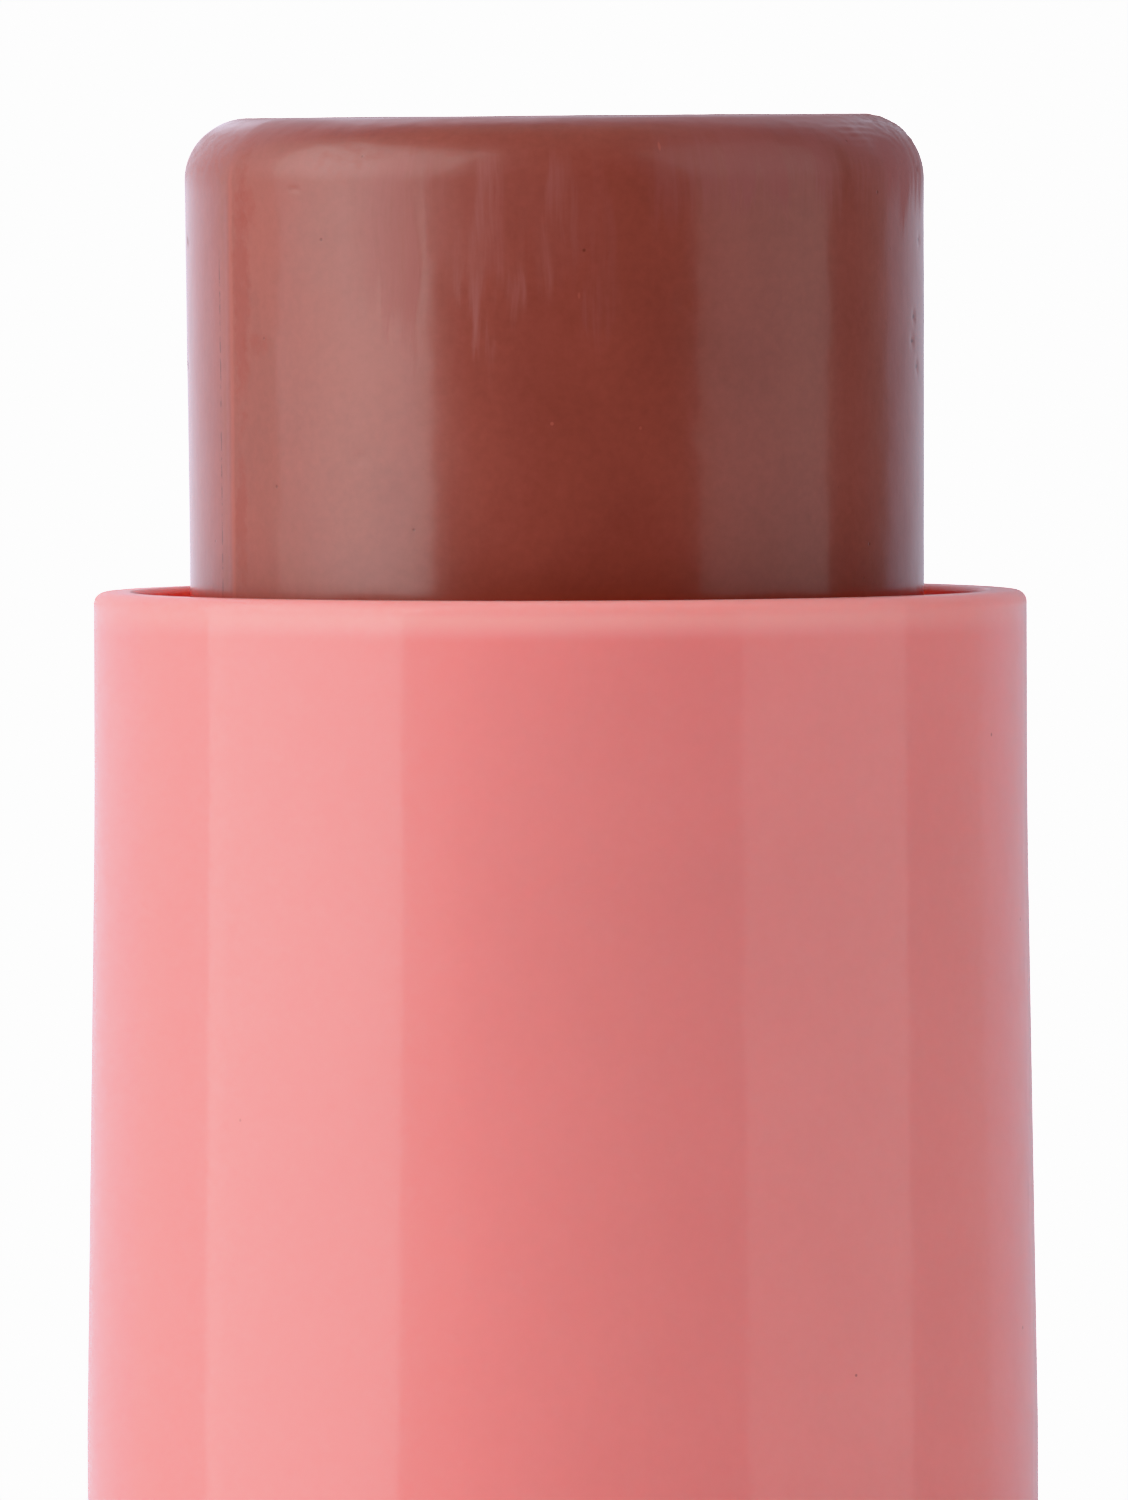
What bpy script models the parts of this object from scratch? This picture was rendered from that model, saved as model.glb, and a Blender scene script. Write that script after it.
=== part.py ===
"""Twist-up blush stick, modelled as the pieces that a real one is assembled from.

The stick stands on its base dial, with +Z along its axis and the origin at the centre of the
surface it stands on. Lengths are in metres. The dial turns a two-start lead screw. The carrier
cup is a nut on that screw, and two keys on it slide in the guide tube's slots, so the cup and
the blush in it rise without turning. The slots' ends are the stops of that travel.
"""
import math

import bmesh
import bpy
from mathutils import Matrix, Vector

# Blush bullet
BULLET_RADIUS = 0.00794
BULLET_LENGTH = 0.0340
BULLET_SHOWING = 0.0102
BULLET_CORNER = 0.00138
BULLET_DRAFT = 0.00017
STEM_STEP = 0.00054
BORE_GAP = 0.00035
BORE_TOP_COVER = 0.0003

# Carrier cup, with its nut and its keys
CUP_WALL = 0.0008
CUP_DEPTH = 0.0068
CUP_FLOOR = 0.0012
CUP_RIM_ROUND = 0.0002
CAST_GAP = 0.0001
SEAT_GAP = 0.0003
NUT_LENGTH = 0.0050
NUT_WALL = 0.0015
KEY_WIDTH = 0.0024
KEY_HEIGHT = 0.0030
KEY_REACH = 0.00065
RIB_WIDTH = 0.0009
RIB_REACH = 0.0005
RIB_HEIGHT = 0.0048
RIB_GAP = 0.00015
RIB_COUNT = 4

# Lead screw
THREAD_RADIUS = 0.0026
THREAD_DEPTH = 0.0008
THREAD_LEAD = 0.0060
THREAD_STARTS = 2
THREAD_GAP = 0.0002
THREAD_TIP_CHAMFER = 0.0006
THREAD_STOPS_ABOVE_NUT = 0.0007
SCREW_FLANGE_RADIUS = 0.0042
SCREW_FLANGE = 0.0010
JOURNAL_RADIUS = 0.0019
TAIL_RADIUS = 0.00185
TAIL_SIDES = 6
SOCKET_GAP = 0.00015

# Guide tube
SLIDE_GAP = 0.00015
GUIDE_WALL = 0.00059
GUIDE_FLOOR = 0.0014
GUIDE_TOP_RING = 0.0020
GUIDE_FOOT_FLANGE = 0.0010
GUIDE_FOOT_CHAMFER = 0.0003
SLOT_SIDE_GAP = 0.00015
SLOT_END_GAP = 0.0003
BEARING_GAP = 0.00008
DOG_WIDTH = 0.0030
DOG_HEIGHT = 0.0018
DOG_GAP = 0.0002

# Neck shell
NECK_FIT = 0.0001
NECK_WALL = 0.00086
NECK_LENGTH = 0.0210
NECK_STRAIGHT = 0.0047
NECK_FLARE = 0.0002
NECK_FLARE_LENGTH = 0.0132
NECK_FLARE_BLEND = 0.20
RIM_OUTER_ROUND = 0.00026
RIM_INNER_ROUND = 0.00012
CUP_TOP_BELOW_RIM = 0.0020
TIP_RECESS = 0.0020

# Body shell
BODY_FIT = 0.00015
BODY_WALL = 0.00115
BODY_LIP = 0.0011
BODY_LIP_GAP = 0.0003
SHOULDER_ROUND = 0.00035
SEAM_ROUND = 0.00025
BEAD_ABOVE_FOOT = 0.0050
BEAD_REACH = 0.0002
BEAD_HALF_HEIGHT = 0.0004

# Base dial, its weight and the friction ring
DIAL_HEIGHT = 0.0120
DIAL_WALL = 0.0013
DIAL_FLOOR = 0.0016
DIAL_FOOT_ROUND = 0.0006
SEAM_GAP = 0.0003
RECESS_WIDTH_FROM_EDGE = 0.0030
RECESS_DEPTH = 0.0004
HUB_HEIGHT = 0.0066
HUB_WALL = 0.0014
SOCKET_DEPTH = 0.0056
WEIGHT_HEIGHT = 0.0045
WEIGHT_ROUND = 0.0004
RING_SECTION = 0.0009
RING_INNER_GAP = 0.00015
RING_GAP = 0.00025
END_PLAY = 0.0002
STOP_GAP = 0.0003

# Overrun of cuts past the walls that they go through, and of joined shapes into each other
OVERRUN = 0.0002

# Distance under which the points of a turned form on its axis become one
MERGE_DISTANCE = 0.000001

# How finely round forms are divided
SHELL_SEGMENTS = 64
INNER_SEGMENTS = 48
RING_SEGMENTS = 32
RING_SECTION_SEGMENTS = 8
ROUND_STEPS = 3
THREAD_POINTS = 16
THREAD_STEPS_PER_TURN = 15
FLANK_STEEPNESS = 1.4

# Radii, from the bullet outwards
STEM_RADIUS = BULLET_RADIUS - STEM_STEP
CUP_INNER = STEM_RADIUS + CAST_GAP
CUP_OUTER = CUP_INNER + CUP_WALL
GUIDE_INNER = CUP_OUTER + SLIDE_GAP
GUIDE_OUTER = GUIDE_INNER + GUIDE_WALL
NECK_INNER = GUIDE_OUTER + NECK_FIT
NECK_OUTER = NECK_INNER + NECK_WALL
NECK_FOOT_OUTER = NECK_OUTER + NECK_FLARE
BODY_INNER = NECK_FOOT_OUTER + BODY_FIT
BODY_OUTER = BODY_INNER + BODY_WALL
DIAL_INNER = BODY_OUTER - DIAL_WALL
SOCKET_RADIUS = TAIL_RADIUS + SOCKET_GAP
HUB_RADIUS = SOCKET_RADIUS + HUB_WALL
NUT_RADIUS = THREAD_RADIUS + THREAD_GAP + NUT_WALL
RECESS_RADIUS = BODY_OUTER - RECESS_WIDTH_FROM_EDGE
FOOT_FLANGE_RADIUS = NECK_FOOT_OUTER - NECK_FIT

# Heights, from the surface up, with the dial's axle first
HUB_TOP = DIAL_FLOOR + HUB_HEIGHT
RING_HEIGHT = HUB_TOP + RING_GAP + RING_SECTION / 2
GUIDE_FOOT = HUB_TOP + RING_GAP + RING_SECTION + RING_GAP
GUIDE_FLOOR_TOP = GUIDE_FOOT + GUIDE_FLOOR
FLANGE_FOOT = GUIDE_FLOOR_TOP + END_PLAY
FLANGE_TOP = FLANGE_FOOT + SCREW_FLANGE

# Travel of the cup, and the heights that follow from it, with the stick twisted up as shown
TRAVEL_DOWN = BULLET_SHOWING + TIP_RECESS
NUT_FOOT = FLANGE_TOP + STOP_GAP + TRAVEL_DOWN
CUP_FOOT = NUT_FOOT + NUT_LENGTH
CUP_TOP = CUP_FOOT + CUP_FLOOR + CUP_DEPTH
BULLET_FOOT = CUP_FOOT + CUP_FLOOR + SEAT_GAP
BULLET_TOP = BULLET_FOOT + BULLET_LENGTH
RIM_HEIGHT = BULLET_TOP - BULLET_SHOWING
TRAVEL_UP = RIM_HEIGHT - CUP_TOP_BELOW_RIM - CUP_TOP
THREAD_TOP = CUP_FOOT + CUP_FLOOR + TRAVEL_UP + THREAD_STOPS_ABOVE_NUT
SLOT_FOOT = CUP_FOOT - TRAVEL_DOWN - SLOT_END_GAP
SLOT_TOP = CUP_FOOT + KEY_HEIGHT + TRAVEL_UP + SLOT_END_GAP
GUIDE_TOP = SLOT_TOP + GUIDE_TOP_RING

# Shells that cover the mechanism
BODY_FOOT = DIAL_HEIGHT + SEAM_GAP
BODY_TOP = RIM_HEIGHT - NECK_LENGTH
FOOT_FLANGE_FOOT = BODY_FOOT + BODY_LIP + SEAT_GAP
FOOT_FLANGE_TOP = FOOT_FLANGE_FOOT + GUIDE_FOOT_FLANGE
NECK_FOOT = FOOT_FLANGE_TOP + SEAT_GAP
BEAD_HEIGHT = NECK_FOOT + BEAD_ABOVE_FOOT

# Colours, as red, green and blue in linear light, then roughness and metallic
FINISHES = {
    "blush": ((0.240, 0.061, 0.048), 0.30, 0.0),
    "pink_shell": ((0.795, 0.260, 0.256), 0.20, 0.0),
    "natural_plastic": ((0.780, 0.760, 0.720), 0.45, 0.0),
    "white_plastic": ((0.850, 0.845, 0.830), 0.35, 0.0),
    "weight_steel": ((0.340, 0.335, 0.330), 0.40, 1.0),
    "ring_rubber": ((0.030, 0.030, 0.032), 0.60, 0.0),
}


def clear_scene():
    """Removes every object, so that the model is all there is."""
    for piece in list(bpy.data.objects):
        bpy.data.objects.remove(piece, do_unlink=True)


def new_collection(name):
    """A collection of that name, linked to the scene."""
    collection = bpy.data.collections.new(name)
    bpy.context.scene.collection.children.link(collection)
    return collection


def material_for(node, finish):
    """A Principled material with the colour, roughness and metallic value of one finish."""
    colour, roughness, metallic = FINISHES[finish]
    material = bpy.data.materials.new(f"{node}_{finish}")
    material.use_nodes = True
    shader = material.node_tree.nodes["Principled BSDF"]
    shader.inputs["Base Color"].default_value = (*colour, 1.0)
    shader.inputs["Roughness"].default_value = roughness
    shader.inputs["Metallic"].default_value = metallic
    return material


def rounded(outline, closed):
    """The points of an outline of (radius, height, rounding), with an arc at each rounded corner."""
    corners = [(Vector(corner[:2]), corner[2]) for corner in outline]
    points = []
    for index, (corner, rounding) in enumerate(corners):
        at_end = not closed and index in (0, len(corners) - 1)
        if rounding == 0 or at_end:
            points.append(corner)
            continue
        back = (corners[index - 1][0] - corner).normalized()
        onward = (corners[(index + 1) % len(corners)][0] - corner).normalized()
        half_angle = back.angle(onward) / 2
        centre = corner + (back + onward).normalized() * rounding / math.sin(half_angle)
        arm = corner + back * rounding / math.tan(half_angle) - centre
        sweep = (math.pi - 2 * half_angle) * (1 if back.cross(onward) < 0 else -1)
        for step in range(ROUND_STEPS + 1):
            points.append(centre + Matrix.Rotation(sweep * step / ROUND_STEPS, 2) @ arm)
    return points


def link(piece, collection, parent=None):
    """Puts an object in a collection, under a parent that stands where it is."""
    collection.objects.link(piece)
    if parent is not None:
        piece.parent = parent
        piece.matrix_parent_inverse = parent.matrix_basis.inverted()


def turned(name, outline, closed, segments):
    """An object whose outline, running down its outer side, is turned about Z."""
    points = rounded(outline, closed)
    edges = [(index, index + 1) for index in range(len(points) - 1)]
    if closed:
        edges.append((len(points) - 1, 0))
    mesh = bpy.data.meshes.new(name)
    mesh.from_pydata([(point.x, 0, point.y) for point in points], edges, [])
    piece = bpy.data.objects.new(name, mesh)
    turn = piece.modifiers.new("Turned about its axis", "SCREW")
    turn.steps = segments
    turn.render_steps = segments
    turn.use_merge_vertices = True
    turn.merge_threshold = MERGE_DISTANCE
    turn.use_smooth_shade = True
    return piece


def block(name, size, centre, turn, cutters):
    """A hidden block that a Boolean joins to a piece or cuts from it, turned about the Z axis."""
    mesh = bpy.data.meshes.new(name)
    shape = bmesh.new()
    bmesh.ops.create_cube(shape, size=1)
    bmesh.ops.scale(shape, vec=size, verts=shape.verts)
    bmesh.ops.translate(shape, vec=centre, verts=shape.verts)
    shape.to_mesh(mesh)
    shape.free()
    piece = bpy.data.objects.new(name, mesh)
    piece.rotation_euler.z = turn
    return hide_tool(piece, cutters)


def hide_tool(piece, cutters):
    """Marks an object as a cutter or a shape to be joined, which isn't a piece of its own."""
    piece.hide_render = True
    piece.display_type = "WIRE"
    link(piece, cutters)
    return piece


def combine(piece, other, operation):
    """Joins another object to a piece, or cuts it from the piece."""
    step = piece.modifiers.new(f"{operation.title()} {other.name}", "BOOLEAN")
    step.operation = operation
    step.solver = "EXACT"
    step.object = other


def thread_section(grow):
    """Points round the screw's section at one height: two rounded starts, grown outwards."""
    points = []
    for index in range(THREAD_POINTS):
        angle = 2 * math.pi * index / THREAD_POINTS
        wave = math.cos(THREAD_STARTS * angle) * FLANK_STEEPNESS
        rise_share = (1 + max(-1, min(1, wave))) / 2
        radius = THREAD_RADIUS - THREAD_DEPTH * (1 - rise_share) + grow
        points.append((radius * math.cos(angle), radius * math.sin(angle)))
    return points


def thread(name, grow, foot, top):
    """A left-hand twisted bar: the screw's section swept up the axis, closed at both ends."""
    turns = (top - foot) / THREAD_LEAD
    steps = math.ceil(turns * THREAD_STEPS_PER_TURN)
    shape = bmesh.new()
    start = Matrix.Rotation(-2 * math.pi * foot / THREAD_LEAD, 3, "Z")
    ring = [shape.verts.new(start @ Vector((x, y, foot))) for x, y in thread_section(grow)]
    edges = [shape.edges.new((ring[index - 1], ring[index])) for index in range(len(ring))]
    swept = bmesh.ops.spin(
        shape,
        geom=ring + edges,
        cent=(0, 0, 0),
        axis=(0, 0, 1),
        dvec=(0, 0, (top - foot) / steps),
        angle=-2 * math.pi * turns,
        steps=steps,
        use_duplicate=False,
    )
    last = [item for item in swept["geom_last"] if isinstance(item, bmesh.types.BMEdge)]
    bmesh.ops.contextual_create(shape, geom=last)
    bmesh.ops.contextual_create(shape, geom=edges)
    bmesh.ops.recalc_face_normals(shape, faces=shape.faces)
    mesh = bpy.data.meshes.new(name)
    shape.to_mesh(mesh)
    shape.free()
    return bpy.data.objects.new(name, mesh)


def finish_piece(piece, finish, parts, parent):
    """Gives a piece its material and its place among the parts."""
    piece.data.materials.append(material_for(piece.name, finish))
    link(piece, parts, parent)


def make_bullet(parts, cutters, parent):
    """The blush: a tapering round bar with a bore for the screw, seated in the cup by its stem."""
    shoulder = CUP_TOP + SEAT_GAP
    bore = THREAD_RADIUS + BORE_GAP
    bore_top = THREAD_TOP + TRAVEL_DOWN + BORE_TOP_COVER
    bullet = turned(
        "blush_bullet",
        [
            (0, BULLET_TOP, 0),
            (BULLET_RADIUS, BULLET_TOP, BULLET_CORNER),
            (BULLET_RADIUS - BULLET_DRAFT, shoulder, 0),
            (STEM_RADIUS, shoulder, 0),
            (STEM_RADIUS, BULLET_FOOT, 0),
            (bore, BULLET_FOOT, 0),
            (bore, bore_top, 0),
            (0, bore_top, 0),
        ],
        False,
        SHELL_SEGMENTS,
    )
    for number in range(RIB_COUNT):
        groove = block(
            f"bullet_groove_{number + 1}",
            (
                RIB_REACH + RIB_GAP + OVERRUN,
                RIB_WIDTH + 2 * RIB_GAP,
                RIB_HEIGHT + SEAT_GAP + OVERRUN,
            ),
            (
                CUP_INNER - RIB_REACH - RIB_GAP + (RIB_REACH + RIB_GAP + OVERRUN) / 2,
                0,
                BULLET_FOOT - OVERRUN + (RIB_HEIGHT + SEAT_GAP + OVERRUN) / 2,
            ),
            2 * math.pi * (number + 0.5) / RIB_COUNT,
            cutters,
        )
        combine(bullet, groove, "DIFFERENCE")
    finish_piece(bullet, "blush", parts, parent)


def make_cup(parts, cutters, parent):
    """The cup that carries the bullet: nut below, ribs inside, two keys outside."""
    cup = turned(
        "carrier_cup",
        [
            (0, CUP_FOOT + CUP_FLOOR, 0),
            (CUP_INNER, CUP_FOOT + CUP_FLOOR, 0),
            (CUP_INNER, CUP_TOP, 0),
            (CUP_OUTER, CUP_TOP, CUP_RIM_ROUND),
            (CUP_OUTER, CUP_FOOT, 0),
            (NUT_RADIUS, CUP_FOOT, 0),
            (NUT_RADIUS, NUT_FOOT, 0),
            (0, NUT_FOOT, 0),
        ],
        False,
        INNER_SEGMENTS,
    )
    for number in range(RIB_COUNT):
        rib = block(
            f"cup_rib_{number + 1}",
            (RIB_REACH + CUP_WALL / 2, RIB_WIDTH, RIB_HEIGHT + CUP_FLOOR / 2),
            (
                CUP_INNER - RIB_REACH + (RIB_REACH + CUP_WALL / 2) / 2,
                0,
                CUP_FOOT + CUP_FLOOR / 2 + (RIB_HEIGHT + CUP_FLOOR / 2) / 2,
            ),
            2 * math.pi * (number + 0.5) / RIB_COUNT,
            cutters,
        )
        combine(cup, rib, "UNION")
    for number in range(2):
        key = block(
            f"cup_key_{number + 1}",
            (KEY_REACH + CUP_WALL / 2, KEY_WIDTH, KEY_HEIGHT),
            (
                CUP_OUTER - CUP_WALL / 2 + (KEY_REACH + CUP_WALL / 2) / 2,
                0,
                CUP_FOOT + KEY_HEIGHT / 2,
            ),
            math.pi * number,
            cutters,
        )
        combine(cup, key, "UNION")
    nut_thread = thread(
        "nut_thread", THREAD_GAP, NUT_FOOT - OVERRUN, CUP_FOOT + CUP_FLOOR + OVERRUN
    )
    combine(cup, hide_tool(nut_thread, cutters), "DIFFERENCE")
    finish_piece(cup, "white_plastic", parts, parent)


def make_lead_screw(parts, cutters, parent):
    """The screw that lifts the cup: thread, flange, journal and a six-sided tail for the dial."""
    tail_foot = HUB_TOP - SOCKET_DEPTH + SEAT_GAP
    screw = turned(
        "lead_screw",
        [
            (0, FLANGE_TOP, 0),
            (SCREW_FLANGE_RADIUS, FLANGE_TOP, 0),
            (SCREW_FLANGE_RADIUS, FLANGE_FOOT, 0),
            (JOURNAL_RADIUS, FLANGE_FOOT, 0),
            (JOURNAL_RADIUS, HUB_TOP + SEAT_GAP, 0),
            (0, HUB_TOP + SEAT_GAP, 0),
        ],
        False,
        INNER_SEGMENTS,
    )
    tail_mesh = bpy.data.meshes.new("screw_tail")
    tail_shape = bmesh.new()
    tail_top = HUB_TOP + SEAT_GAP + OVERRUN
    bmesh.ops.create_cone(
        tail_shape,
        cap_ends=True,
        segments=TAIL_SIDES,
        radius1=TAIL_RADIUS,
        radius2=TAIL_RADIUS,
        depth=tail_top - tail_foot,
        matrix=Matrix.Translation((0, 0, (tail_top + tail_foot) / 2)),
    )
    tail_shape.to_mesh(tail_mesh)
    tail_shape.free()
    tail = bpy.data.objects.new("screw_tail", tail_mesh)
    combine(screw, hide_tool(tail, cutters), "UNION")

    bar = thread("screw_thread", 0, FLANGE_TOP - OVERRUN, THREAD_TOP)
    tip = turned(
        "thread_envelope",
        [
            (0, THREAD_TOP + OVERRUN, 0),
            (THREAD_RADIUS - THREAD_TIP_CHAMFER, THREAD_TOP + OVERRUN, 0),
            (THREAD_RADIUS + OVERRUN, THREAD_TOP - THREAD_TIP_CHAMFER, 0),
            (THREAD_RADIUS + OVERRUN, FLANGE_FOOT, 0),
            (0, FLANGE_FOOT, 0),
        ],
        False,
        INNER_SEGMENTS,
    )
    combine(bar, hide_tool(tip, cutters), "INTERSECT")
    combine(screw, hide_tool(bar, cutters), "UNION")
    finish_piece(screw, "white_plastic", parts, parent)


def make_guide_tube(parts, cutters, parent):
    """The inner tube: a floor with the screw's bearing, two long slots and two dogs at its foot."""
    tube = turned(
        "guide_tube",
        [
            (GUIDE_OUTER, GUIDE_TOP, 0),
            (GUIDE_OUTER, FOOT_FLANGE_TOP, 0),
            (FOOT_FLANGE_RADIUS, FOOT_FLANGE_TOP, 0),
            (FOOT_FLANGE_RADIUS, FOOT_FLANGE_FOOT, 0),
            (GUIDE_OUTER, FOOT_FLANGE_FOOT, 0),
            (GUIDE_OUTER, GUIDE_FOOT, GUIDE_FOOT_CHAMFER),
            (JOURNAL_RADIUS + BEARING_GAP, GUIDE_FOOT, 0),
            (JOURNAL_RADIUS + BEARING_GAP, GUIDE_FLOOR_TOP, 0),
            (GUIDE_INNER, GUIDE_FLOOR_TOP, 0),
            (GUIDE_INNER, GUIDE_TOP, 0),
        ],
        True,
        INNER_SEGMENTS,
    )
    for number in range(2):
        dog = block(
            f"guide_dog_{number + 1}",
            (
                FOOT_FLANGE_RADIUS - GUIDE_INNER - GUIDE_WALL / 2,
                DOG_WIDTH,
                DOG_HEIGHT + GUIDE_FOOT_FLANGE / 2,
            ),
            (
                (FOOT_FLANGE_RADIUS + GUIDE_INNER + GUIDE_WALL / 2) / 2 - OVERRUN / 2,
                0,
                FOOT_FLANGE_TOP - GUIDE_FOOT_FLANGE / 2 + (DOG_HEIGHT + GUIDE_FOOT_FLANGE / 2) / 2,
            ),
            math.pi * (number + 0.5),
            cutters,
        )
        combine(tube, dog, "UNION")
    slots = block(
        "guide_slots",
        (
            2 * (GUIDE_OUTER + OVERRUN),
            KEY_WIDTH + 2 * SLOT_SIDE_GAP,
            SLOT_TOP - SLOT_FOOT,
        ),
        (0, 0, (SLOT_TOP + SLOT_FOOT) / 2),
        0,
        cutters,
    )
    combine(tube, slots, "DIFFERENCE")
    finish_piece(tube, "natural_plastic", parts, parent)


def make_neck_shell(parts, cutters, parent):
    """The glossy neck that a cap slides over: straight under its rim, then flaring a little."""
    straight_foot = RIM_HEIGHT - NECK_STRAIGHT
    neck = turned(
        "neck_shell",
        [
            (NECK_OUTER, RIM_HEIGHT, RIM_OUTER_ROUND),
            (NECK_OUTER, straight_foot, NECK_FLARE_BLEND),
            (NECK_FOOT_OUTER, straight_foot - NECK_FLARE_LENGTH, 0),
            (NECK_FOOT_OUTER, BEAD_HEIGHT + BEAD_HALF_HEIGHT, 0),
            (NECK_FOOT_OUTER + BEAD_REACH, BEAD_HEIGHT, 0),
            (NECK_FOOT_OUTER, BEAD_HEIGHT - BEAD_HALF_HEIGHT, 0),
            (NECK_FOOT_OUTER, NECK_FOOT, 0),
            (NECK_INNER, NECK_FOOT, 0),
            (NECK_INNER, RIM_HEIGHT, RIM_INNER_ROUND),
        ],
        True,
        SHELL_SEGMENTS,
    )
    notch_height = DOG_HEIGHT - SEAT_GAP + DOG_GAP
    notch = block(
        "neck_notch",
        (
            DOG_WIDTH + 2 * DOG_GAP,
            2 * (NECK_FOOT_OUTER + OVERRUN),
            notch_height + OVERRUN,
        ),
        (0, 0, NECK_FOOT + notch_height - (notch_height + OVERRUN) / 2),
        0,
        cutters,
    )
    combine(neck, notch, "DIFFERENCE")
    finish_piece(neck, "pink_shell", parts, parent)


def make_body_shell(parts, parent):
    """The sleeve over the neck's lower half: a flat shoulder for the cap, a lip at its foot."""
    body = turned(
        "body_shell",
        [
            (BODY_OUTER, BODY_TOP, SHOULDER_ROUND),
            (BODY_OUTER, BODY_FOOT, SEAM_ROUND),
            (GUIDE_OUTER + BODY_LIP_GAP, BODY_FOOT, 0),
            (GUIDE_OUTER + BODY_LIP_GAP, BODY_FOOT + BODY_LIP, 0),
            (BODY_INNER, BODY_FOOT + BODY_LIP, 0),
            (BODY_INNER, BEAD_HEIGHT - BEAD_HALF_HEIGHT - BODY_FIT, 0),
            (BODY_INNER + BEAD_REACH, BEAD_HEIGHT, 0),
            (BODY_INNER, BEAD_HEIGHT + BEAD_HALF_HEIGHT + BODY_FIT, 0),
            (BODY_INNER, BODY_TOP, 0),
        ],
        True,
        SHELL_SEGMENTS,
    )
    finish_piece(body, "pink_shell", parts, parent)


def make_base_dial(parts, cutters, parent):
    """The dial that is twisted: a cup with a socketed hub inside and a shallow recess below."""
    dial = turned(
        "base_dial",
        [
            (0, HUB_TOP, 0),
            (HUB_RADIUS, HUB_TOP, 0),
            (HUB_RADIUS, DIAL_FLOOR, 0),
            (DIAL_INNER, DIAL_FLOOR, 0),
            (DIAL_INNER, DIAL_HEIGHT, 0),
            (BODY_OUTER, DIAL_HEIGHT, SEAM_ROUND),
            (BODY_OUTER, 0, DIAL_FOOT_ROUND),
            (RECESS_RADIUS, 0, 0),
            (RECESS_RADIUS, RECESS_DEPTH, 0),
            (0, RECESS_DEPTH, 0),
        ],
        False,
        SHELL_SEGMENTS,
    )
    socket_mesh = bpy.data.meshes.new("hub_socket")
    socket_shape = bmesh.new()
    bmesh.ops.create_cone(
        socket_shape,
        cap_ends=True,
        segments=TAIL_SIDES,
        radius1=SOCKET_RADIUS,
        radius2=SOCKET_RADIUS,
        depth=SOCKET_DEPTH + OVERRUN,
        matrix=Matrix.Translation((0, 0, HUB_TOP - (SOCKET_DEPTH - OVERRUN) / 2)),
    )
    socket_shape.to_mesh(socket_mesh)
    socket_shape.free()
    socket = bpy.data.objects.new("hub_socket", socket_mesh)
    combine(dial, hide_tool(socket, cutters), "DIFFERENCE")
    finish_piece(dial, "pink_shell", parts, parent)


def make_base_weight(parts, parent):
    """The steel ring on the dial's floor that makes the stick stand firm."""
    foot = DIAL_FLOOR + SEAT_GAP
    outer = DIAL_INNER - SEAT_GAP
    inner = HUB_RADIUS + SEAT_GAP
    weight = turned(
        "base_weight",
        [
            (outer, foot + WEIGHT_HEIGHT, WEIGHT_ROUND),
            (outer, foot, 0),
            (inner, foot, 0),
            (inner, foot + WEIGHT_HEIGHT, 0),
        ],
        True,
        INNER_SEGMENTS,
    )
    finish_piece(weight, "weight_steel", parts, parent)


def make_friction_ring(parts, parent):
    """The rubber ring round the screw's journal, whose drag keeps the bullet where it is set."""
    bpy.ops.mesh.primitive_torus_add(
        major_segments=RING_SEGMENTS,
        minor_segments=RING_SECTION_SEGMENTS,
        major_radius=JOURNAL_RADIUS + RING_INNER_GAP + RING_SECTION / 2,
        minor_radius=RING_SECTION / 2,
        location=(0, 0, RING_HEIGHT),
    )
    ring = bpy.context.object
    ring.name = "friction_ring"
    for collection in list(ring.users_collection):
        collection.objects.unlink(ring)
    finish_piece(ring, "ring_rubber", parts, parent)


def axis_empty(name, height, parts, parent=None):
    """An empty on the stick's axis, which the pieces that move together are parented to."""
    empty = bpy.data.objects.new(name, None)
    empty.location.z = height
    link(empty, parts, parent)
    return empty


def build():
    """Makes the whole stick."""
    clear_scene()
    parts = new_collection("blush_stick")
    cutters = new_collection("cutters")
    dial_axis = axis_empty("base_twist_axis", 0, parts)
    carrier_axis = axis_empty("carrier_lift_axis", CUP_FOOT, parts)
    shell_axis = axis_empty("shell_axis", BODY_FOOT, parts)
    make_bullet(parts, cutters, carrier_axis)
    make_cup(parts, cutters, carrier_axis)
    make_lead_screw(parts, cutters, dial_axis)
    make_base_dial(parts, cutters, dial_axis)
    make_base_weight(parts, dial_axis)
    make_friction_ring(parts, dial_axis)
    make_guide_tube(parts, cutters, shell_axis)
    make_neck_shell(parts, cutters, shell_axis)
    make_body_shell(parts, shell_axis)
    print(f"Cup travel in metres, down {TRAVEL_DOWN:.5f} and up {TRAVEL_UP:.5f}")


build()
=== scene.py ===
"""Looks of a twist-up blush stick: its finishes, its fine surfaces, a plain studio and a camera.

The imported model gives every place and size. Lengths are in metres unless a name ends in mm.
Azimuth is measured round the stick's axis from the side that faces the camera, towards +X.
"""

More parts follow.
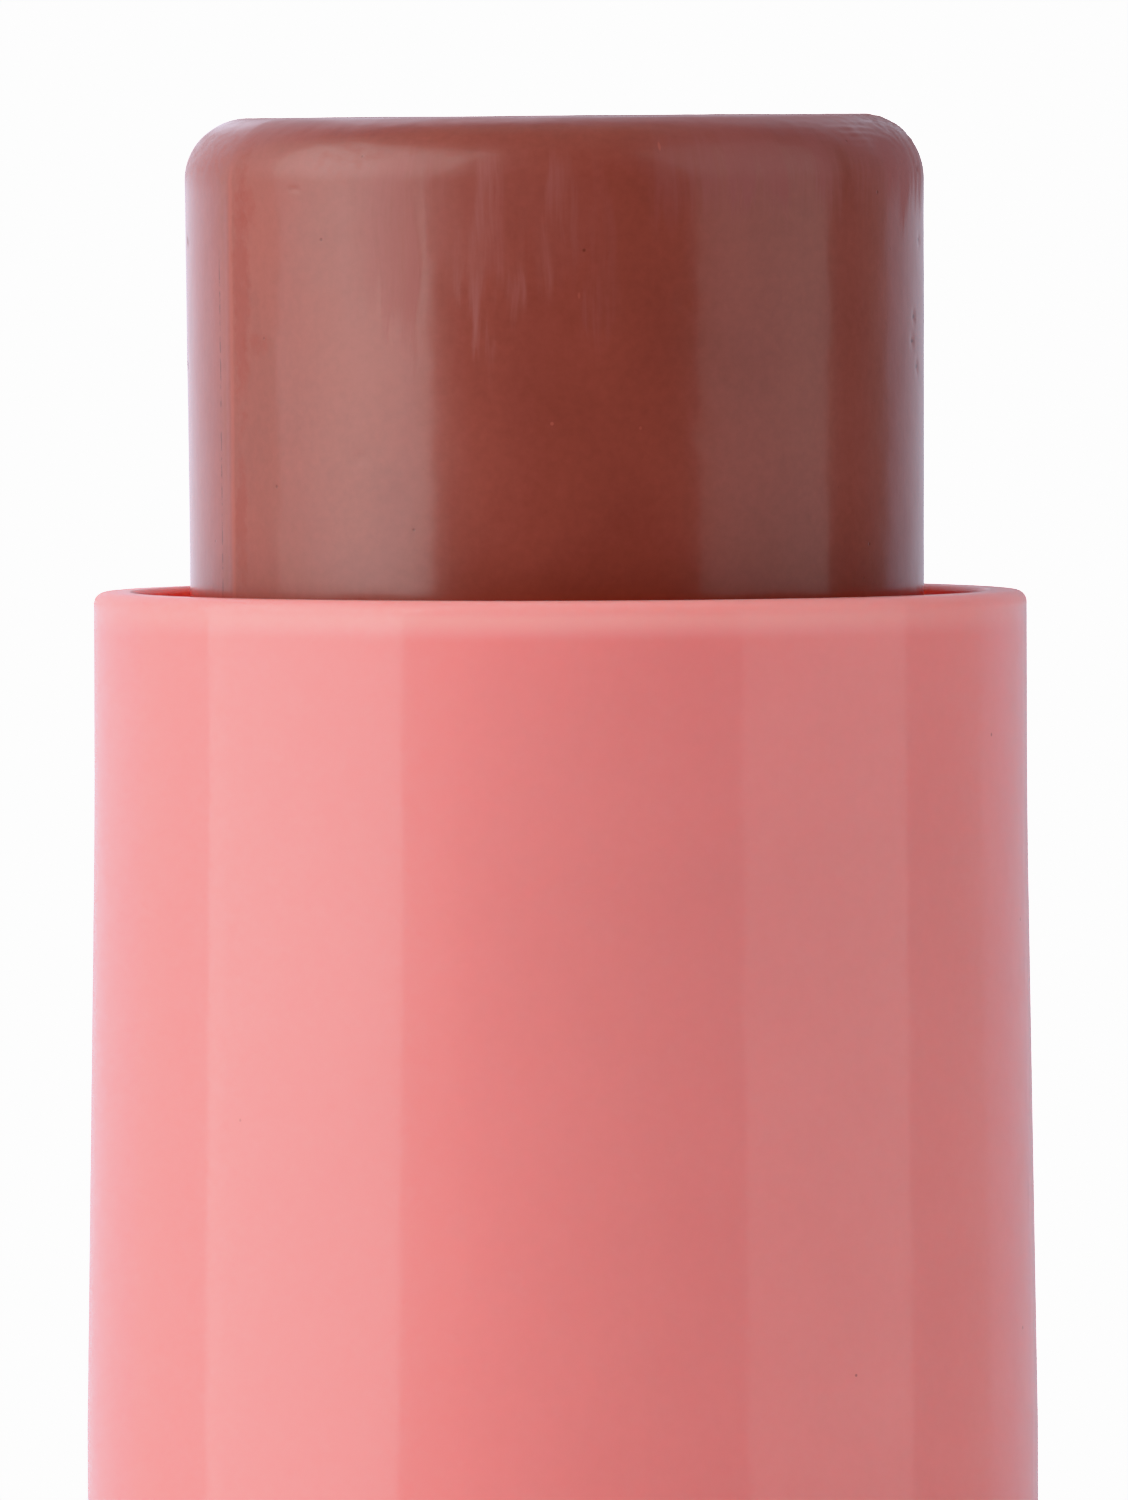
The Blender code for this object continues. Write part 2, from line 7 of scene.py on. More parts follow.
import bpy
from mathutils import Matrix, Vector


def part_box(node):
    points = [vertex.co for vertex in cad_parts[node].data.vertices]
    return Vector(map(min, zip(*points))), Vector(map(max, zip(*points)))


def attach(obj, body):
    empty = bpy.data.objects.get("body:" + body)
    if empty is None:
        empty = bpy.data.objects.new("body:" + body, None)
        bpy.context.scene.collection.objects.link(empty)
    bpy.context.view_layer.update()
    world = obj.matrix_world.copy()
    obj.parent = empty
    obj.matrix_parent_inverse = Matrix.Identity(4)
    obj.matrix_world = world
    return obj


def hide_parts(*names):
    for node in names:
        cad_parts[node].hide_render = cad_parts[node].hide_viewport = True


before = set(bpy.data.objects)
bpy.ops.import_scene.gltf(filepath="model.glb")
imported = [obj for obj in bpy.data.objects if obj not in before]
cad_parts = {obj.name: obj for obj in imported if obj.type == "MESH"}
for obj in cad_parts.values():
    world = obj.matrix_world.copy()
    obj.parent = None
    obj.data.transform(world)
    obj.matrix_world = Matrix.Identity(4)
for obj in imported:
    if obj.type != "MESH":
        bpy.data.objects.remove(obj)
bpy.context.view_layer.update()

import logging
import math
from collections.abc import Mapping, Sequence
from dataclasses import dataclass, field, replace
from enum import Enum
from typing import Union

import bmesh
import bpy
from mathutils import Matrix, Vector, noise

log = logging.getLogger("blush_stick")

MM = 0.001
SHARP_ANGLE = math.radians(40)
Pair = tuple[float, float]
Colour = tuple[float, float, float]
Corner = tuple[float, float, float]
Band = tuple[float, float, float, float]
Socket = bpy.types.NodeSocket
Piece = bpy.types.Object
Feed = Union["Shade", Socket, float, Sequence[float]]
Inputs = Mapping[int | str, Feed]


class Body(Enum):
    """The rigid bodies of the frame that the pieces ride on."""

    SHELL = "shell"
    TWIST_BASE = "twist_base"
    CARRIAGE = "carriage"


class Slot(Enum):
    """The record's material slots."""

    BLUSH = "blush"
    PINK_SHELL = "pink_shell"
    NATURAL_PLASTIC = "natural_plastic"
    WHITE_PLASTIC = "white_plastic"
    WEIGHT_STEEL = "weight_steel"
    RING_RUBBER = "ring_rubber"


class Shade:
    """A number that varies over a surface. Python's operators on it add Math nodes."""

    def __init__(self, graph: "Graph", socket: Socket) -> None:
        """Wraps one output socket of a graph's node."""
        self.graph = graph
        self.socket = socket

    def _math(self, operation: str, *terms: Feed) -> "Shade":
        """Adds a Math node for Blender's name of an operation, with its inputs in order."""
        made = self.graph.node("ShaderNodeMath", {"operation": operation}, dict(enumerate(terms)))
        return Shade(self.graph, made.outputs[0])

    def __add__(self, other: Feed) -> "Shade":
        """self + other."""
        return self._math("ADD", self, other)

    __radd__ = __add__

    def __sub__(self, other: Feed) -> "Shade":
        """self - other."""
        return self._math("SUBTRACT", self, other)

    def __rsub__(self, other: Feed) -> "Shade":
        """other - self."""
        return self._math("SUBTRACT", other, self)

    def __mul__(self, other: Feed) -> "Shade":
        """self * other."""
        return self._math("MULTIPLY", self, other)

    __rmul__ = __mul__

    def __truediv__(self, other: Feed) -> "Shade":
        """self / other."""
        return self._math("DIVIDE", self, other)

    def __pow__(self, other: Feed) -> "Shade":
        """self to the power of other."""
        return self._math("POWER", self, other)

    def __abs__(self) -> "Shade":
        """The size of self, without its sign."""
        return self._math("ABSOLUTE", self)

    def smaller(self, other: Feed) -> "Shade":
        """The lower of self and other."""
        return self._math("MINIMUM", self, other)

    def larger(self, other: Feed) -> "Shade":
        """The higher of self and other."""
        return self._math("MAXIMUM", self, other)

    def sine(self) -> "Shade":
        """The sine of self in radians."""
        return self._math("SINE", self)

    def cosine(self) -> "Shade":
        """The cosine of self in radians."""
        return self._math("COSINE", self)

    def atan2(self, other: Feed) -> "Shade":
        """The angle in radians with the sine self and the cosine other, both to one scale."""
        return self._math("ARCTAN2", self, other)

    def swing(self, reach: float) -> "Shade":
        """Noise about 0.5 turned into a swing about 0."""
        return (self - 0.5) * reach

    def about(self, level: float, reach: float) -> "Shade":
        """Noise about 0.5 turned into a swing about a level."""
        return self.swing(reach) + level

    def step(self, low: Feed, high: Feed) -> "Shade":
        """A smooth rise from 0 at low to 1 at high, where high may be the lower value."""
        made = self.graph.node(
            "ShaderNodeMapRange",
            {"interpolation_type": "SMOOTHSTEP", "clamp": True},
            {"Value": self, "From Min": low, "From Max": high, "To Min": 0.0, "To Max": 1.0},
        )
        return Shade(self.graph, made.outputs[0])

    def bell(self, centre: float, width: float) -> "Shade":
        """A smooth hump of height 1 round a centre, gone at a distance of width."""
        return 1 - abs(self - centre).step(0.0, width)

    def band(self, rise: float, full: float, leave: float, gone: float) -> "Shade":
        """A rise from 0 to 1 between the first two values, and a fall between the last two."""
        return self.step(rise, full) * self.step(gone, leave)


@dataclass(frozen=True)
class Grain:
    """A smooth noise: its waves for each unit, the octaves added to them and their weight."""

    scale: float = 1.0
    detail: float = 2.0
    rough: float = 0.5


@dataclass(frozen=True)
class Streaks:
    """A noise drawn out up the stick: its scale round the axis and up it, and its grain."""

    across: float
    along: float
    grain: Grain = Grain()


class Graph:
    """The node tree of one material or of the world."""

    def __init__(self, tree: bpy.types.NodeTree) -> None:
        """Starts from an empty tree."""
        self.tree = tree
        tree.nodes.clear()

    def node(
        self,
        kind: str,
        settings: Mapping[str, object] | None = None,
        inputs: Inputs | None = None,
    ) -> bpy.types.Node:
        """Adds a node of any type.

        Args:
            kind: Blender's name of the node's type.
            settings: the node's own settings, set first.
            inputs: a value or a link for each input, by its number or name.

        Returns:
            The new node.
        """
        made = self.tree.nodes.new(kind)
        for name, value in (settings or {}).items():
            setattr(made, name, value)
        for key, value in (inputs or {}).items():
            self.feed(made.inputs[key], value)
        return made

    def feed(self, socket: Socket, value: Feed) -> None:
        """Links a node's input or sets its value. A colour is given without its alpha."""
        if isinstance(value, Shade):
            value = value.socket
        if isinstance(value, Socket):
            self.tree.links.new(value, socket)
        elif socket.type == "RGBA":
            socket.default_value = (*value, 1.0)
        else:
            socket.default_value = value

    def mix(self, share: Feed, first: Feed, second: Feed) -> Socket:
        """A colour between two colours: the first at a share of 0 and the second at 1."""
        made = self.node("ShaderNodeMix", {"data_type": "RGBA", "clamp_factor": True}, {0: share})
        colours = [socket for socket in made.inputs if socket.type == "RGBA"]
        for socket, colour in zip(colours, (first, second)):
            self.feed(socket, colour)
        return next(socket for socket in made.outputs if socket.type == "RGBA")

    def noise(self, at: Feed, grain: Grain) -> Shade:
        """Smooth noise about 0.5, read at a point."""
        made = self.node(
            "ShaderNodeTexNoise",
            {"noise_dimensions": "3D"},
            {"Vector": at, "Scale": grain.scale, "Detail": grain.detail, "Roughness": grain.rough},
        )
        return Shade(self, made.outputs[0])

    def specks(self, at: Feed, scale: float, size: float) -> Shade:
        """Small round spots, one to a cell: 1 in a spot's middle and 0 from size cells out."""
        inputs = {"Vector": at, "Scale": scale, "Randomness": 1.0}
        made = self.node("ShaderNodeTexVoronoi", {"feature": "F1"}, inputs)
        return Shade(self, made.outputs["Distance"]).step(size, size / 3)

    def bump(self, height: Feed, depth_mm: float) -> Socket:
        """A surface normal tilted by a height map of that depth."""
        inputs = {"Height": height, "Distance": depth_mm * MM, "Strength": 1.0}
        return self.node("ShaderNodeBump", {}, inputs).outputs[0]


class Place:
    """A point on a piece, in millimetres, with its height, azimuth and distance from the axis."""

    def __init__(self, graph: Graph) -> None:
        """Splits the piece's own coordinates, which don't change as it moves."""
        self.graph = graph
        own = graph.node("ShaderNodeTexCoord").outputs["Object"]
        inputs = {"Vector": own, "Scale": 1 / MM}
        scaled = graph.node("ShaderNodeVectorMath", {"operation": "SCALE"}, inputs)
        self.at = scaled.outputs[0]
        split = graph.node("ShaderNodeSeparateXYZ", {}, {0: self.at})
        self.x, self.y, self.z = (Shade(graph, socket) for socket in split.outputs)

    def azimuth(self) -> Shade:
        """The angle round the axis in radians, 0 at the camera's side and positive towards +X."""
        return self.x.atan2(0 - self.y)

    def radius(self) -> Shade:
        """The distance from the axis."""
        return (self.x * self.x + self.y * self.y) ** 0.5

    def noise(self, grain: Grain) -> Shade:
        """Smooth noise about 0.5, read at the point."""
        return self.graph.noise(self.at, grain)

    def streaks(self, radius_mm: float, streaks: Streaks, sway: Feed = 0.0) -> Shade:
        """Noise on the surface laid flat, drawn out into streaks. It joins up behind the stick.

        Args:
            radius_mm: the radius that turns the azimuth into a length.
            streaks: the kind of streaks.
            sway: radians that they are pushed sideways.

        Returns:
            The noise, about 0.5.
        """
        turn = (self.azimuth() + sway) / 2
        across = 2 * radius_mm * streaks.across
        flat = {0: turn.sine() * across, 1: turn.cosine() * across, 2: self.z * streaks.along}
        at = self.graph.node("ShaderNodeCombineXYZ", {}, flat).outputs[0]
        return self.graph.noise(at, streaks.grain)


@dataclass(frozen=True)
class Mark:
    """A small mark on a turned surface, such as a speck or a patch of painted shade."""

    azimuth_deg: float
    drop_mm: float
    across_mm: float
    along_mm: float
    shade: float
    share: float = 0.7

    def mask(
        self, turn: Shade, drop: Shade, radius_mm: float, uneven: Feed = 0.0, inner: float = 0.1
    ) -> Shade:
        """How much of the mark there is at a point.

        Args:
            turn: the point's azimuth.
            drop: its depth under the piece's top, in millimetres.
            radius_mm: the surface's radius.
            uneven: noise about 0 that frays the mark's outline.
            inner: where the mark is full, as the square of the distance from its middle.

        Returns:
            The mark's share in its middle, and 0 outside it.
        """
        across = (turn - math.radians(self.azimuth_deg)) * (radius_mm / self.across_mm)
        along = (drop - self.drop_mm) * (1 / self.along_mm)
        return (across * across + along * along + uneven).step(1.0, inner) * self.share


@dataclass(frozen=True)
class Smear:
    """A patch that has been touched: dulled in uneven upright strokes that end raggedly, with a
    paler painted sheen.
    """

    left_deg: float
    right_deg: float
    top_mm: float
    foot_mm: float
    ragged_mm: float
    # The painted sheen's colour, and how much of it shows.
    colour: Colour
    sheen_cover: float
    soft_deg: float = 9.0
    top_fade_mm: Pair = (-0.3, 0.5)
    foot_fade_mm: Pair = (-0.5, 1.0)

    def mask(self, turn: Shade, drop: Shade, strokes: Shade) -> Shade:
        """How much of the smear there is at a point.

        Args:
            turn: the point's azimuth.
            drop: its depth under the tip, in millimetres.
            strokes: upright streaks about 0.5.

        Returns:
            The share, from 0 to 1.
        """
        left, right, soft = (
            math.radians(angle) for angle in (self.left_deg, self.right_deg, self.soft_deg)
        )
        sides = turn.band(left - soft, left + soft, right - soft, right + soft)
        head = drop.step(*(self.top_mm + fade for fade in self.top_fade_mm))
        foot = self.foot_mm + strokes.swing(self.ragged_mm)
        return sides * head * (foot - drop).step(*self.foot_fade_mm)


@dataclass(frozen=True)
class Finish:
    """A finish: the constants of a Principled shader, and what varies in it."""

    slot: Slot
    colour: Colour
    roughness: float
    metallic: float = 0.0
    ior: float = 1.46
    subsurface: float = 0.0
    subsurface_radius_mm: Colour = (0.6, 0.3, 0.2)
    coat: float = 0.0
    coat_roughness: float = 0.08
    coat_ior: float = 1.32
    grain: Grain = Grain(3.0, 3.0)
    grain_swing: float = 0.12
    mottle: Pair = (1.0, 1.0)
    bump_mm: float = 0.004
    radius_mm: float = 10.0

    def material(self, name: str) -> bpy.types.Material:
        """Makes a material of that name, whose variation comes from vary()."""
        made = bpy.data.materials.new(name)
        made.use_nodes = True
        graph = Graph(made.node_tree)
        inputs = {
            "Base Color": self.colour,
            "Roughness": self.roughness,
            "Metallic": self.metallic,
            "IOR": self.ior,
            "Subsurface Weight": self.subsurface,
            "Subsurface Radius": self.subsurface_radius_mm,
            "Subsurface Scale": MM,
            "Coat Weight": self.coat,
            "Coat Roughness": self.coat_roughness,
            "Coat IOR": self.coat_ior,
            **self.vary(graph, Place(graph)),
        }
        shader = graph.node("ShaderNodeBsdfPrincipled", {}, inputs)
        graph.node("ShaderNodeOutputMaterial", {}, {"Surface": shader.outputs[0]})
        made.diffuse_color = (*self.colour, 1.0)
        return made

    def vary(self, graph: Graph, place: Place) -> Inputs:
        """What changes over the surface: a little grain in the roughness."""
        return {"Roughness": self.roughness + place.noise(self.grain).swing(self.grain_swing)}

    def mottled(self, graph: Graph, share: Shade) -> Socket:
        """The finish's colour, mottled between its two factors."""
        return graph.mix(share, *(self.tint(factor) for factor in self.mottle))

    def tint(self, factor: float) -> Colour:
        """The finish's colour made lighter or darker by a factor."""
        return tuple(min(1.0, channel * factor) for channel in self.colour)


@dataclass(frozen=True)
class CreamBlush(Finish):
    """Pressed wax and pigment: satin, duller where touched near its tip, with painted sheen and
    shade.

    A look is a factor on the colour and how much of it shows. A haze is a level and its swing.
    """

    hazy_roughness: float = 0.46
    hazy_coat_loss: float = 0.9
    cloud_roughness: float = 0.08
    tip_mm: float = 65.2
    radius_mm: float = 7.94
    clouds: Grain = Grain(0.35, 3.0)
    fine: Grain = Grain(5.0, 4.0, 0.6)
    mottle: Pair = (0.90, 1.10)
    mottle_swings: Pair = (1.6, 1.2)
    sway: Grain = Grain(0.45, 1.0)
    sway_rad: float = 0.06
    broad: Streaks = Streaks(1.1, 0.20)
    thin: Streaks = Streaks(5.5, 0.45, Grain(1.0, 3.0, 0.6))
    broad_share: float = 0.62
    stroke_swing: float = 1.3
    drawn: Streaks = Streaks(5.0, 0.35)
    smears_and_sheen: tuple[Smear, ...] = (
        Smear(-30, 5, 0.7, 4.5, 8.0, (0.264, 0.088, 0.077), 0.20),
        Smear(16, 100, 0.25, 2.0, 4.0, (0.268, 0.092, 0.086), 0.65),
    )
    # How much of the smears' painted sheen shows where the strokes tear it.
    smear_edges: Pair = (0.40, 0.60)
    torn_sheen_cover: float = 0.95
    smear_haze: Pair = (0.85, 2.4)
    dulled_deg: Band = (-30.0, -48.0, -60.0, -64.0)
    dulled_haze: Pair = (0.78, 0.7)
    flat_mm: Pair = (7.4, 6.7)
    flat_haze: Pair = (0.8, 1.0)
    worn_mm: Band = (0.15, 0.5, 1.0, 1.8)
    worn_edges: Pair = (0.3, 0.7)
    worn_haze: Pair = (0.2, 0.5)
    line_deg: float = -64.8
    line_mm: float = 0.035
    line_from_mm: Pair = (2.6, 3.6)
    line_look: Pair = (0.38, 0.75)
    dots: Grain = Grain(3.2, 3.0, 0.7)
    dot_edges: Pair = (0.44, 0.56)
    seam_deg: float = -60.8
    seam_rad: Pair = (0.014, 0.003)
    seam_from_mm: Pair = (0.9, 1.4)
    seam_look: Pair = (1.45, 0.35)
    marks: tuple[Mark, ...] = (
        Mark(-1.2, 6.5, 0.05, 0.05, 1.7, 0.6),
        Mark(12.5, 6.6, 0.04, 0.05, 1.6, 0.5),
        Mark(3.0, 3.8, 0.04, 0.09, 1.6, 0.4),
        Mark(16.0, 0.66, 0.04, 0.12, 1.7, 0.5),
    )
    # Painted shade: darker, redder bands where the wax reflects less, with frayed outlines.
    painted_shade: Colour = (0.214, 0.036, 0.022)
    painted_shade_bands: tuple[Mark, ...] = (
        Mark(-57.9, 3.40, 0.40, 3.60, 1.0, 0.48),
        Mark(-58.4, 8.60, 0.28, 2.00, 1.0, 0.40),
        Mark(-56.0, 1.95, 0.44, 0.60, 1.0, 0.40),
        Mark(-53.8, 4.85, 0.56, 0.32, 1.0, 0.42),
    )
    frayed: Grain = Grain(2.4, 5.0, 0.72)
    frayed_swing: float = 3.0
    # The pits, sunk into the mesh and painted darker as painted shade.
    pits: tuple[Mark, ...] = tuple(
        Mark(turn, drop, 0.10, 0.06, 0.30)
        for turn, drop in ((79.5, 2.70), (75.5, 4.33), (74.5, 4.85), (77.5, 5.40))
    )
    # Pores: sunk by the bump and painted darker as painted shade.
    pore_scale: float = 0.9
    pore_size: float = 0.045
    pore_painted_shade: Pair = (0.45, 0.6)
    bump_mm: float = 0.006
    fine_height: float = 0.35
    drawn_height: float = 0.25
    pore_height: float = -0.8

    def vary(self, graph: Graph, place: Place) -> Inputs:
        """Touched patches with a painted sheen, the mould's lines, small flaws with painted shade,
        mottled pigment and a drawn grain.
        """
        turn, drop = place.azimuth(), self.tip_mm - place.z
        clouds, fine = place.noise(self.clouds), place.noise(self.fine)
        strokes = self.strokes(place)
        cloudy, grainy = self.mottle_swings
        colour = self.mottled(graph, clouds.swing(cloudy) + fine.swing(grainy) + 0.5)
        touched: Feed = 0.0
        # Smears dull the wax, and their paler colour is a painted sheen.
        for smear in self.smears_and_sheen:
            mask = smear.mask(turn, drop, strokes)
            torn = strokes.step(*self.smear_edges)
            sheen_cover = torn * (self.torn_sheen_cover - smear.sheen_cover) + smear.sheen_cover
            colour = graph.mix(mask * sheen_cover, colour, smear.colour)
            touched = mask + touched
        dulled = turn.band(*(math.radians(angle) for angle in self.dulled_deg))
        flat = place.radius().step(*self.flat_mm)
        least, more = self.worn_haze
        worn = drop.band(*self.worn_mm) * (fine.step(*self.worn_edges) * more + least)
        haze = touched * strokes.about(*self.smear_haze)
        haze = haze.larger(dulled * clouds.about(*self.dulled_haze)).larger(worn)
        haze = haze.larger(flat * clouds.about(*self.flat_haze)).larger(0.0).smaller(1.0)
        pores = graph.specks(place.at, self.pore_scale, self.pore_size)
        rough = self.roughness + haze * (self.hazy_roughness - self.roughness)
        drawn = place.streaks(self.radius_mm, self.drawn)
        height = fine * self.fine_height + drawn * self.drawn_height + pores * self.pore_height
        return {
            "Base Color": self.flawed(graph, place, colour, pores),
            "Roughness": rough + abs(clouds - 0.5) * self.cloud_roughness,
            "Coat Weight": 1 - haze * self.hazy_coat_loss,
            "Normal": graph.bump(height, self.bump_mm),
        }

    def strokes(self, place: Place) -> Shade:
        """Upright streaks about 0.5, broad ones with thin ones in them, which sway a little."""
        sway = place.noise(self.sway).swing(self.sway_rad)
        broad = place.streaks(self.radius_mm, self.broad, sway)
        thin = place.streaks(self.radius_mm, self.thin, sway)
        both = broad * self.broad_share + thin * (1 - self.broad_share)
        return both.about(0.5, self.stroke_swing)

    def flawed(self, graph: Graph, place: Place, colour: Socket, pores: Shade) -> Socket:
        """Puts the mould's two lines and the marks on a colour, and painted shade in dark bands,
        pits and pores.

        Args:
            graph: the material's nodes.
            place: the point on the bullet.
            colour: the colour without them.
            pores: how much of a pore there is at the point.

        Returns:
            The colour with them.
        """
        turn, drop = place.azimuth(), self.tip_mm - place.z
        across = abs(turn - math.radians(self.line_deg)) * self.radius_mm
        dots = place.noise(self.dots).step(*self.dot_edges)
        line = across.step(self.line_mm, self.line_mm / 3) * dots * drop.step(*self.line_from_mm)
        seam = abs(turn - math.radians(self.seam_deg)).step(*self.seam_rad)
        seam = seam * drop.step(*self.seam_from_mm)
        for mask, (factor, share) in ((line, self.line_look), (seam, self.seam_look)):
            colour = graph.mix(mask * share, colour, self.tint(factor))
        uneven = place.noise(self.frayed).swing(self.frayed_swing)
        # Bands of painted shade.
        for mark in self.painted_shade_bands:
            mask = mark.mask(turn, drop, self.radius_mm, uneven, 0.0)
            colour = graph.mix(mask, colour, self.painted_shade)
        # The lighter marks, and painted shade in the pits.
        for mark in (*self.marks, *self.pits):
            mask = mark.mask(turn, drop, self.radius_mm)
            colour = graph.mix(mask, colour, self.tint(mark.shade))
        # Painted shade in the pores.
        factor, share = self.pore_painted_shade
        return graph.mix(pores * share, colour, self.tint(factor))


@dataclass(frozen=True)
class GlossShell(Finish):
    """Glossy moulded plastic, with a painted highlight under an open rim, strongest at the front.
    """

    rim_mm: float | None = None
    # The colour of the painted highlight under the rim, and where and how it spreads.
    glow: Colour = (0.860, 0.375, 0.365)
    painted_highlight_mm: float = 0.90
    edge_mm: float = 0.40
    edge_highlight_loss: float = 0.75
    edge_coat_loss: float = 0.6
    highlight_front: float = 0.45
    highlight_all_round: float = 0.32
    highlight_spread: float = math.radians(75)
    marks: tuple[Mark, ...] = ()
    clouds: Grain = Grain(0.22, 3.0)
    fine: Grain = Grain(3.5, 3.0, 0.6)
    mottle: Pair = (0.965, 1.035)
    mottle_swings: Pair = (1.5, 0.7)
    handling: Grain = Grain(0.7, 4.0, 0.6)
    handling_edges: Pair = (0.50, 0.72)
    handled_roughness: float = 0.05
    grain_swing: float = 0.03
    waves: Grain = Grain(1.3, 1.0)
    bump_mm: float = 0.0025

    def vary(self, graph: Graph, place: Place) -> Inputs:
        """Faint clouding, handling marks in the gloss, dust specks and the painted highlight under
        the rim.
        """
        coat: Feed = self.coat
        clouds, fine = place.noise(self.clouds), place.noise(self.fine)
        cloudy, grainy = self.mottle_swings
        colour = self.mottled(graph, clouds.swing(cloudy) + fine.swing(grainy) + 0.5)
        if self.rim_mm is not None:
            turn, drop = place.azimuth(), self.rim_mm - place.z
            # Painted highlight: a paler colour below the rim, most at the front and less round the
            # back, fading at the very edge, where the coat also thins.
            facing = turn.bell(0.0, self.highlight_spread) * self.highlight_front + self.highlight_all_round
            edge = drop.step(self.edge_mm, self.edge_mm / 3)
            painted_rim_light = drop.step(self.painted_highlight_mm, self.edge_mm) * (1 - edge * self.edge_highlight_loss)
            colour = graph.mix(painted_rim_light * facing, colour, self.glow)
            coat = (1 - edge * self.edge_coat_loss) * self.coat
            for mark in self.marks:
                share = mark.mask(turn, drop, self.radius_mm)
                colour = graph.mix(share, colour, self.tint(mark.shade))
        handled = place.noise(self.handling).step(*self.handling_edges) * self.handled_roughness
        return {
            "Base Color": colour,
            "Roughness": self.roughness + handled + fine.swing(self.grain_swing),
            "Coat Weight": coat,
            "Normal": graph.bump(place.noise(self.waves), self.bump_mm),
        }


@dataclass(frozen=True)
class MouldedPlastic(Finish):
    """Plain moulded plastic with the faint flow lines of its moulding."""

    radius_mm: float = 8.0
    flow: Streaks = Streaks(0.8, 0.12)
    grain: Grain = Grain(9.0, 3.0)
    grain_swing: float = 0.10
    mottle: Pair = (0.94, 1.04)

    def vary(self, graph: Graph, place: Place) -> Inputs:
        """Flow lines up the piece, and a fine satin grain."""
        flow, grain = place.streaks(self.radius_mm, self.flow), place.noise(self.grain)
        swing = self.grain_swing
        return {
            "Base Color": self.mottled(graph, flow),
            "Roughness": self.roughness + flow.swing(swing) + grain.swing(swing),
            "Normal": graph.bump(grain, self.bump_mm),
        }


@dataclass(frozen=True)
class PlatedSteel(Finish):
    """Turned and plated steel, with the rings of its turning."""

    grain: Grain = Grain(6.0)
    grain_swing: float = 0.25
    stain: Grain = Grain(0.5, 3.0)
    mottle: Pair = (0.85, 1.1)

    def vary(self, graph: Graph, place: Place) -> Inputs:
        """Rings round the axis in the roughness and the normal."""
        at = graph.node("ShaderNodeCombineXYZ", {}, {0: place.radius(), 1: place.z}).outputs[0]
        rings = graph.noise(at, self.grain)
        return {
            "Base Color": self.mottled(graph, place.noise(self.stain)),
            "Roughness": self.roughness + rings.swing(self.grain_swing),
            "Normal": graph.bump(rings, self.bump_mm),
        }


BLUSH = CreamBlush(
    Slot.BLUSH, (0.228, 0.064, 0.050), 0.28, ior=1.40, coat=1.0, coat_roughness=0.12, coat_ior=1.27
)
PINK = GlossShell(
    Slot.PINK_SHELL,
    (0.787, 0.245, 0.241),
    0.40,
    ior=1.34,
    subsurface=0.8,
    subsurface_radius_mm=(3.0, 1.2, 1.0),
    coat=0.76,
    coat_ior=1.38,
)
NATURAL = MouldedPlastic(
    Slot.NATURAL_PLASTIC, (0.78, 0.76, 0.72), 0.42, ior=1.49, subsurface=0.3
)
WHITE = MouldedPlastic(Slot.WHITE_PLASTIC, (0.85, 0.845, 0.83), 0.38, ior=1.49)
STEEL = PlatedSteel(Slot.WEIGHT_STEEL, (0.50, 0.495, 0.48), 0.40, metallic=1.0)
RUBBER = Finish(Slot.RING_RUBBER, (0.03, 0.03, 0.032), 0.6)


def add_object(data: bpy.types.ID) -> Piece:
    """Adds an object to the scene, named like its data."""
    made = bpy.data.objects.new(data.name, data)
    bpy.context.scene.collection.objects.link(made)
    return made


def add_mesh(name: str, shape: bmesh.types.BMesh) -> Piece:
    """Adds an object to the scene made of a mesh being edited, which is freed."""
    mesh = bpy.data.meshes.new(name)
    shape.to_mesh(mesh)
    shape.free()
    return add_object(mesh)


